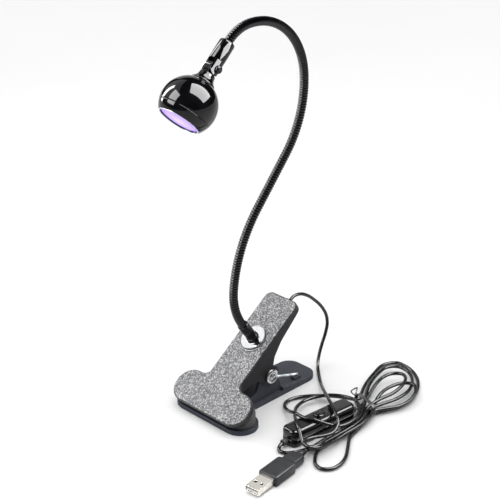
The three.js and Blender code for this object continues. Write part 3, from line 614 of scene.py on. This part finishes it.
def make_tie():
    """Two turns of covered wire round the hank, and their twisted ends as a small standing loop."""
    across = matrix_at((*TIE_CENTRE, 0), "Z", TIE_TURN)
    half_width, half_height, middle, advance = 12.3, 5.3, 5.6, 1.3
    turns = []
    steps = 26
    for i in range(2 * steps + 1):
        angle = 2 * math.pi * i / steps + math.pi
        flat_x = half_width * math.copysign(abs(math.cos(angle)) ** 0.75, math.cos(angle))
        flat_z = half_height * math.copysign(abs(math.sin(angle)) ** 0.55, math.sin(angle))
        turns.append(Vector((flat_x, advance * (i / steps - 1), middle + flat_z)))
    wire = tube("hank_wire", turns, TIE_WIRE_RADIUS, across, 10)
    tail = [(-12, -1.2, 6), (-13.4, 0.6, 9.4), (-16.4, 3.6, 11.4), (-19, 4.4, 9.8), (-19.6, 1.4, 8.6),
            (-17, -1.6, 9), (-14.2, -0.6, 7.6), (-12.2, 1.2, 5.8)]
    ends = tube("hank_wire_ends", spline(tail, 6), 0.6, across, 10)
    dress(wire, "tie_wire", "lower_lever", ("hank_tie",))
    dress(ends, "tie_wire", "lower_lever")
    return wire, ends


# ---------- clamp ----------
def make_spring():
    """The torsion spring: a leg on each lever and its turns on the pin."""
    reach = math.hypot(SPRING_REACH, SPRING_DROP)
    aim = math.atan2(SPRING_DROP, SPRING_REACH)
    touch = math.acos(SPRING_RADIUS / reach)
    first = -aim - touch
    last = CLAMP_ANGLE + aim + touch - 2 * math.pi * SPRING_TURNS
    leg = [(reach + 1.5, 0), (reach * 0.75, 0.045), (reach * 0.5, 0.115)]
    points = [(SPRING_SIDE, far, -aim - sag) for far, sag in leg]
    places = 12 * SPRING_TURNS
    for i in range(places + 1):
        part = i / places
        points.append((SPRING_SIDE * (1 - 2 * part), SPRING_RADIUS, first + (last - first) * part))
    points += [(-SPRING_SIDE, far, CLAMP_ANGLE + aim + sag) for far, sag in reversed(leg)]
    path = spline([(x, far * math.cos(a), far * math.sin(a)) for x, far, a in points], 4)
    spring = tube("spring_wire", path, SPRING_WIRE_RADIUS, PIVOT, 14)
    dress(spring, "spring_steel", stands_for=("torsion_spring",))
    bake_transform(spring)


def make_pivot_screw():
    """The shank with its domed head, a sunk disc and a raised cross in it."""
    profile = [
        (0, -21.2), (2, -21.2), (2.2, -21), (2.2, 17.3), (5.8, 17.35), (6, 17.6), (6, 18.6),
        (5.8, 19.3), (5.3, 19.8), (4.7, 20), (4.2, 19.85), (3.9, 19.2), (3.6, 18.7), (0, 18.6),
    ]
    screw = turned("pivot_screw_body", profile, PIVOT @ ALONG_X, 64)
    dress(screw, "chrome", "lower_lever", ("pivot_screw",))
    for index, (wide, tall) in enumerate(((0.9, 6.4), (6.4, 0.9))):
        outline = rounded_outline(wide, tall, 0.35, 5)
        rings = [[(x, y, z) for x, y in outline] for z in (18.55, 19.3, 19.45)]
        bar = rings_to_mesh(f"pivot_screw_cross_{index + 1}", rings, PIVOT @ ALONG_X)
        dress(soften(bar, 0.12, 2), "chrome", "lower_lever")


def make_neck_foot():
    washer = [
        (3.8, 24.25), (11.7, 24.25), (11.95, 24.5), (11.9, 24.9), (11.3, 25.35), (9.8, 25.75), (6, 25.95),
        (3.8, 25.95),
    ]
    dress(turned("washer_dome", washer, FOOT, 80), "chrome", "upper_lever", ("neck_washer",))
    ferrule = [
        (3.6, 28.8), (4.4, 28.8), (4.5, 29), (4.5, 43.6), (4.42, 44.3), (4.15, 44.8), (3.9, 45), (3.6, 44.95),
    ]
    dress(turned("foot_ferrule", ferrule, FOOT, 64), "black_gloss", "upper_lever", ("base_ferrule",))
    collar = [(3.8, 26.05), (4.75, 26.05), (4.9, 26.2), (4.9, 28.45), (4.75, 28.65), (3.8, 28.65)]
    dress(turned("foot_collar", collar, FOOT, 64), "black_gloss", "upper_lever", ("foot_nut",))


# ---------- gooseneck ----------
def ribbed(name, start, end):
    """A stretch of the wound neck between two distances along it, its ribs a real helix."""
    sides, per_rib = 20, 8
    rings = []
    steps = round((end - start) / RIB_PITCH * per_rib)
    for i in range(steps + 1):
        distance = start + (end - start) * i / steps
        y, z, angle = neck_at(distance)
        ring = []
        for k in range(sides):
            around = 2 * math.pi * k / sides
            phase = (distance / RIB_PITCH - k / sides) % 1.0
            crown = math.sqrt(max(0.0, 1 - (2 * phase - 1) ** 2))
            radius = NECK_RADIUS + 0.18 - RIB_DEPTH * (1 - crown)
            across = radius * math.sin(around)
            place = (radius * math.cos(around), y + across * math.cos(angle), z - across * math.sin(angle))
            ring.append(place)
        rings.append(ring)
    return rings_to_mesh(name, rings, Matrix.Identity(4))


def make_neck():
    middles = [(a + b) / 2 for a, b in zip(NECK_CUTS, NECK_CUTS[1:])]
    ends = [0.5] + middles[1:-1] + [NECK_CUTS[-1] - 0.5]
    for i, cut in enumerate(NECK_CUTS[1:-1]):
        stands_for = [f"neck_segment_{i + 1}"]
        if i == len(NECK_CUTS) - 3:
            stands_for.append(f"neck_segment_{i + 2}")
        piece = ribbed(f"gooseneck_{i + 1}", ends[i], ends[i + 1])
        dress(piece, "neck_finish", stands_for=stands_for)
        before, after = neck_at(cut - 18), neck_at(cut + 18)
        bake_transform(piece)


# ---------- head ----------
def ball_profile(radius, low, high, steps):
    start, stop = math.acos(low / radius), math.acos(high / radius)
    angles = [start + (stop - start) * i / steps for i in range(steps + 1)]
    return [(radius * math.sin(angle), radius * math.cos(angle)) for angle in angles]


def make_ball():
    outer, inner = BALL_RADIUS, BALL_RADIUS - 1.8
    seam_low, seam_high = -7.15, -6.85
    rear = (
        [(outer - 1.2, seam_high + 0.1)]
        + ball_profile(outer, seam_high + 0.3, 19.6, 40)
        + [(2.6, 19.5), (2.6, 17.4)]
        + ball_profile(inner, 17.4, seam_high, 20)
    )
    dress(turned("ball_rear", rear, HEAD, 112), "black_gloss", "head", ("rear_shell",))
    front = (
        ball_profile(inner, seam_low, -10.6, 8)
        + [(15.2, -10.7), (15.1, -12.6), (15.25, -13.2), (15.9, -13.5), (16.4, -13.35)]
        + ball_profile(outer, -13.2, seam_low - 0.3, 14)
        + [(outer - 1.2, seam_low)]
    )
    dress(turned("ball_front", front, HEAD, 112), "black_gloss", "head", ("front_ring",))
    rim = [(15.3, -13.15), (15.5, -13.5), (15.95, -13.62), (16.3, -13.5), (16.2, -13.2), (15.7, -13.1)]
    dress(turned("opening_rim", rim, HEAD, 112), "spring_steel", "head")
    lens = [
        (0, -11.3), (14.6, -11.3), (14.95, -11.5), (14.95, -12.1), (14.5, -12.4), (11, -12.85), (6, -13.15),
        (0, -13.25),
    ]
    dress(turned("lens_dome", lens, HEAD, 96), "violet_lens", "head", ("lens",))


def fork_cheek(name, side):
    """One cheek of the tip's fork: flat inside, round outside, with a rounded end."""
    rings = []
    levels = [TILT_HEIGHT - FORK_RADIUS * math.cos(math.radians(a)) for a in range(0, 91, 9)] + [38.5]
    for z in levels:
        below = max(0.0, TILT_HEIGHT - z)
        half = math.sqrt(max(0.02, FORK_RADIUS ** 2 - below ** 2))
        arc = []
        for i in range(13):
            y = -half + 2 * half * i / 12
            arc.append((side * math.sqrt(TIP_RADIUS ** 2 - y * y), y, z))
        ring = arc + [(side * 3.05, half, z), (side * 3.05, -half, z)]
        rings.append(ring if side > 0 else list(reversed(ring)))
    return rings_to_mesh(name, rings, HEAD)


def make_stem():
    ferrule = [
        (0, 37.9), (5.8, 37.9), (TIP_RADIUS, 38.1), (TIP_RADIUS, 52.4), (5.8, 53.3), (5.3, 53.85), (4.6, 54),
        (3.95, 53.9), (3.9, 50), (0, 50),
    ]
    dress(turned("tip_ferrule_body", ferrule, HEAD, 72), "black_gloss", "neck_7", ("tip_ferrule",))
    for label, side in (("right", 1), ("left", -1)):
        dress(soften(fork_cheek(f"tip_fork_{label}", side), 0.25, 2), "black_gloss", "neck_7")
    flare = [
        (0, 26.6), (5.4, 26.6), (5.85, 26.45), (6, 26.1), (6.05, 25.2), (6.3, 24.1), (6.8, 22.8),
        (7.6, 21.6), (8.6, 20.5), (9.1, 20), (9.15, 19.6), (8.8, 19.3), (0, 19.3),
    ]
    dress(turned("stem_flare", flare, HEAD, 80), "black_gloss", "head", ("head_stem",))
    lowered = [(y, z if z > 0 else z * 1.25) for y, z in circle(TONGUE_RADIUS, 40)]
    rings = [[(x, y, TILT_HEIGHT + z) for y, z in lowered] for x in (-2.8, 2.8)]
    tongue = rings_to_mesh("stem_tongue", rings, HEAD)
    dress(soften(tongue, 0.3, 3), "black_gloss", "head")
    axis = HEAD @ matrix_at((0, 0, TILT_HEIGHT)) @ ALONG_X
    screw = [
        (0, -9), (1.4, -8.85), (2.4, -8.3), (2.95, -7.4), (3, -6.6), (2.85, -6.2), (1.6, -6.15), (1.6, 7.6),
        (1.5, 7.8), (0, 7.8),
    ]
    dress(turned("tilt_screw_body", screw, axis, 48), "chrome", "neck_7", ("tilt_screw",))
    cap = [
        (1.7, 6.25), (2.9, 6.3), (3, 6.5), (3, 7.3), (2.7, 7.9), (1.9, 8.4), (0, 8.6), (0, 7.9), (1.7, 7.9),
    ]
    dress(turned("tilt_cap_nut", cap, axis, 40), "black_gloss", "neck_7", ("tilt_nut",))


# ---------- switch and plug ----------
def make_switch():
    def outline(inset, z):
        width, length = SWITCH_WIDTH - 2 * inset, SWITCH_LENGTH - 2 * inset
        return [(x, y, z) for x, y in rounded_outline(width, length, SWITCH_CORNER - min(inset, 3))]

    low = [(1.1, 0.02), (0.35, 0.25), (0, 1), (0, 6), (0.3, 6.35), (1.5, 6.4)]
    base = rings_to_mesh("switch_lower_half", [outline(*row) for row in low], SWITCH)
    dress(base, "switch_plastic", "lower_lever", ("switch_base",))
    high = [
        outline(inset, z) for inset, z in (
            (1.5, 6.6), (0.3, 6.65), (0, 7), (0, 11.4), (0.25, 12.6), (0.9, 13.5), (1.9, 14), (2.9, 14.15),
        )
    ]
    angles = [math.atan2(y, x) for x, y, _ in high[-1]]
    for radius, z in ((6.3, 14.2), (5.5, 14.35), (5, 14.3), (4.75, 14), (4.7, 11)):
        high.append([(radius * math.cos(a), radius * math.sin(a), z) for a in angles])
    cover = rings_to_mesh("switch_upper_half", high, SWITCH, caps=False)
    dress(cover, "switch_plastic", "lower_lever", ("switch_cover",))
    profile = [
        (0, 9.2), (5.8, 9.2), (5.8, 10.2), (4.4, 10.3), (4.4, 14.9), (4.25, 15.4), (3.8, 15.75), (2.6, 15.95),
        (0, 16),
    ]
    button = turned("push_button", profile, SWITCH, 56)
    dress(button, "switch_plastic", "button", ("switch_button",))
    return base, cover, button


def make_plug():
    sections = [
        (0.1, 15.4, 7.6), (0.3, 16.1, 8.2), (0.7, 16.5, 8.5), (22, 16.4, 8.5), (23, 16, 8.4), (24, 15, 8),
        (24.5, 13.4, 7.5), (24.9, 12.5, 7.2), (26, 12.2, 7.1), (35.8, 12.1, 6.9), (37, 11.7, 6.6),
        (37.6, 10.8, 5.8),
    ]
    rings = []
    for y, width, height in sections:
        outline = rounded_outline(width, height, 1.1, 8)
        rings.append([(x, y, PLUG_HEIGHT + z) for x, z in reversed(outline)])
    grip = rings_to_mesh("plug_body", rings, PLUG)
    dress(grip, "plug_plastic", "lower_lever", ("plug_grip",))
    profile = [(0, 37.4), (3, 37.4)]
    for i in range(4):
        top = 37.9 + 2.1 * i
        radius = 3 - 0.32 * i
        profile += [(radius, top), (radius, top + 1.1), (radius - 0.6, top + 1.3), (radius - 0.65, top + 1.9)]
    profile += [(1.6, 46.3), (0, 46.4)]
    relief = turned("plug_boot", profile, PLUG @ matrix_at((0, 0, PLUG_HEIGHT)) @ ALONG_Y, 40)
    dress(relief, "plug_plastic", "lower_lever", ("plug_relief",))
    return grip, relief


make_camera()
lead = make_lead()
tie_pieces = make_tie()
dress_frame()
round_frame_edges()
make_floor()
make_spring()
make_pivot_screw()
make_neck_foot()
make_neck()
make_ball()
make_stem()
switch_pieces = make_switch()
plug_pieces = make_plug()
make_studio()
